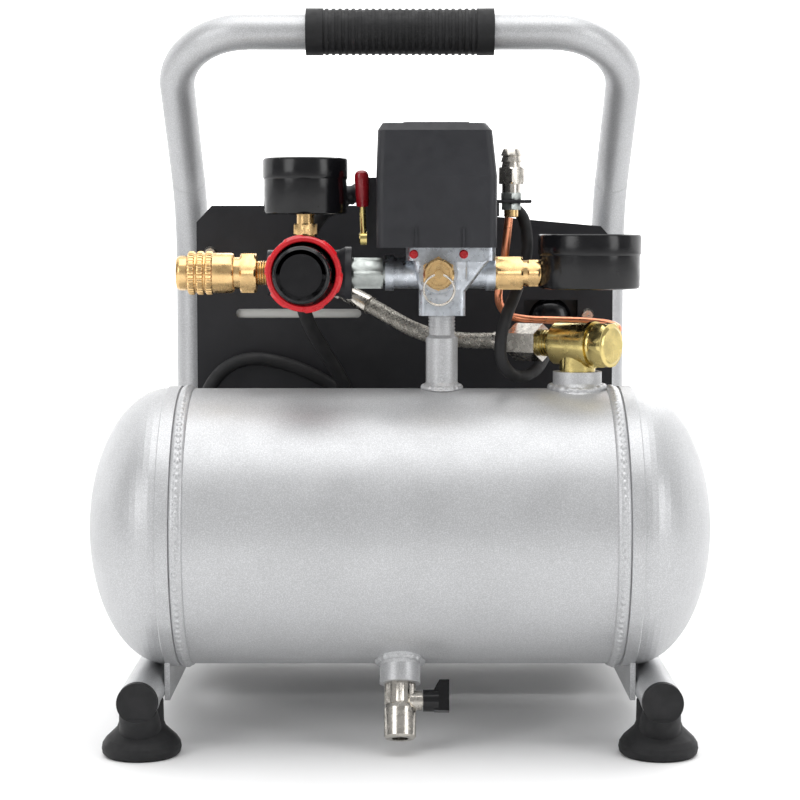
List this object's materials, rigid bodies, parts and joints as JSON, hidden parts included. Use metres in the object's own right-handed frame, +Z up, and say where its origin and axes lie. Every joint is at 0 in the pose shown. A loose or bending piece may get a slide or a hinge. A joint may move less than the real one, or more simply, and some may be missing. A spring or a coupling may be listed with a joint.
{
  "type": "airbrush compressor",
  "caption": "Small portable compressor for an airbrush: silver tank on a tube frame with a folded-back handle, covered pump, pressure switch, regulator, gauges and quick coupler.",
  "frame": {"origin": "middle of the base, on the floor", "axes": "+Z up, the front with the drain valve faces -Y, +X to the right seen from the front"},
  "size_m": [0.297, 0.4109, 0.3603],
  "materials": {
    "steel_paint": "silver metallic paint",
    "black_paint": "satin powder coat",
    "rubber_black": "matte",
    "plastic_black": "fine grain",
    "gloss_black": "glossy",
    "red_gloss": "glossy",
    "lever_red": "vinyl cap on a zinc rod",
    "dial_white": "printed dial",
    "needle_black": "satin",
    "lens": "clear",
    "aluminium_cast": "die cast",
    "stator_steel": "ground",
    "nickel": "nickel plated",
    "zinc": "zinc plated",
    "braid": "stainless braid",
    "brass": "machined",
    "brass_yellow": "yellow zinc plated",
    "copper": "bare copper tube"
  },
  "bodies": {
    "frame": {"tank_shell": "steel_paint", "tank_heads": "steel_paint", "tank_riser": "steel_paint", "frame_rails": "steel_paint", "tank_gussets": "steel_paint", "handle_tube": "steel_paint", "handle_grip": "rubber_black", "rubber_feet": "rubber_black", "base_plate": "black_paint", "rubber_mounts": "rubber_black", "pump_cradle": "black_paint", "motor_housing": "aluminium_cast", "stator": "stator_steel", "end_bell": "aluminium_cast", "crankcase": "aluminium_cast", "cylinder_barrel": "aluminium_cast", "valve_plate": "stator_steel", "cylinder_head": "aluminium_cast", "bearings": "nickel", "intake_filter": "plastic_black", "run_capacitor": "plastic_black", "pump_shroud": "black_paint", "shroud_screws": "nickel", "pump_bolts": "nickel", "motor_lead": "rubber_black", "lead_grommet": "rubber_black", "braided_hose": "braid", "hose_fittings": "nickel", "check_valve_body": "brass_yellow", "check_valve_cap": "brass_yellow", "unloader_tube": "copper", "switch_manifold": "aluminium_cast", "switch_cover": "plastic_black", "unloader_valve": "nickel", "safety_valve_body": "brass", "brass_adapter": "brass", "tank_gauge_case": "gloss_black", "outlet_gauge_case": "gloss_black", "gauge_dials": "dial_white", "gauge_lenses": "lens", "regulator_body": "plastic_black", "regulator_ring": "red_gloss", "hex_nipple": "zinc", "coupler_body": "brass", "drain_valve_body": "nickel", "cord_gland": "plastic_black", "power_cord": "rubber_black", "power_plug": "plastic_black"},
    "crank": {"crankshaft": "stator_steel", "rotor": "stator_steel", "cooling_fans": "plastic_black"},
    "piston": {"piston_rod": "aluminium_cast"},
    "knob": {"regulator_knob": "gloss_black"},
    "lever": {"switch_lever": "lever_red"},
    "relief_stem": {"safety_stem": "brass"},
    "relief_ring": {"safety_ring": "nickel"},
    "tank_needle": {"tank_gauge_needle": "needle_black"},
    "outlet_needle": {"outlet_gauge_needle": "needle_black"},
    "sleeve": {"coupler_sleeve": "brass"},
    "drain_lever": {"drain_handle": "gloss_black"}
  },
  "joints": [
    {"name": "crank_spin", "type": "hinge", "parent": "frame", "child": "crank", "pos_m": [0, 0.0495, 0.122], "axis": [1, 0, 0], "continuous": true},
    {"name": "piston_stroke", "type": "slide", "parent": "frame", "child": "piston", "axis": [0, 0, 1], "range_m": [0, 0.01]},
    {"name": "knob_turn", "type": "hinge", "parent": "frame", "child": "knob", "pos_m": [-0.045, -0.1045, 0.2235], "axis": [0, -1, 0], "range_deg": [0, 720]},
    {"name": "lever_flip", "type": "hinge", "parent": "frame", "child": "lever", "pos_m": [-0.017, -0.0875, 0.24], "axis": [1, 0, 0], "range_deg": [0, 35]},
    {"name": "relief_pull", "type": "slide", "parent": "frame", "child": "relief_stem", "axis": [0, -1, 0], "range_m": [0, 0.003], "stiffness_N_per_m": 2000},
    {"name": "ring_swing", "type": "hinge", "parent": "relief_stem", "child": "relief_ring", "pos_m": [0.018, -0.1201, 0.2235], "axis": [-1, 0, 0], "range_deg": [0, 60]},
    {"name": "tank_needle_turn", "type": "hinge", "parent": "frame", "child": "tank_needle", "pos_m": [0.0905, -0.0875, 0.2352], "axis": [0, 0, -1], "range_deg": [0, 270]},
    {"name": "outlet_needle_turn", "type": "hinge", "parent": "frame", "child": "outlet_needle", "pos_m": [-0.045, -0.0875, 0.2712], "axis": [0, 0, -1], "range_deg": [0, 270]},
    {"name": "sleeve_pull", "type": "slide", "parent": "frame", "child": "sleeve", "axis": [1, 0, 0], "range_m": [0, 0.0025], "stiffness_N_per_m": 900},
    {"name": "drain_turn", "type": "hinge", "parent": "frame", "child": "drain_lever", "pos_m": [0.014, -0.12363, 0.02451], "axis": [1, 0, 0], "range_deg": [0, 90]}
  ]
}
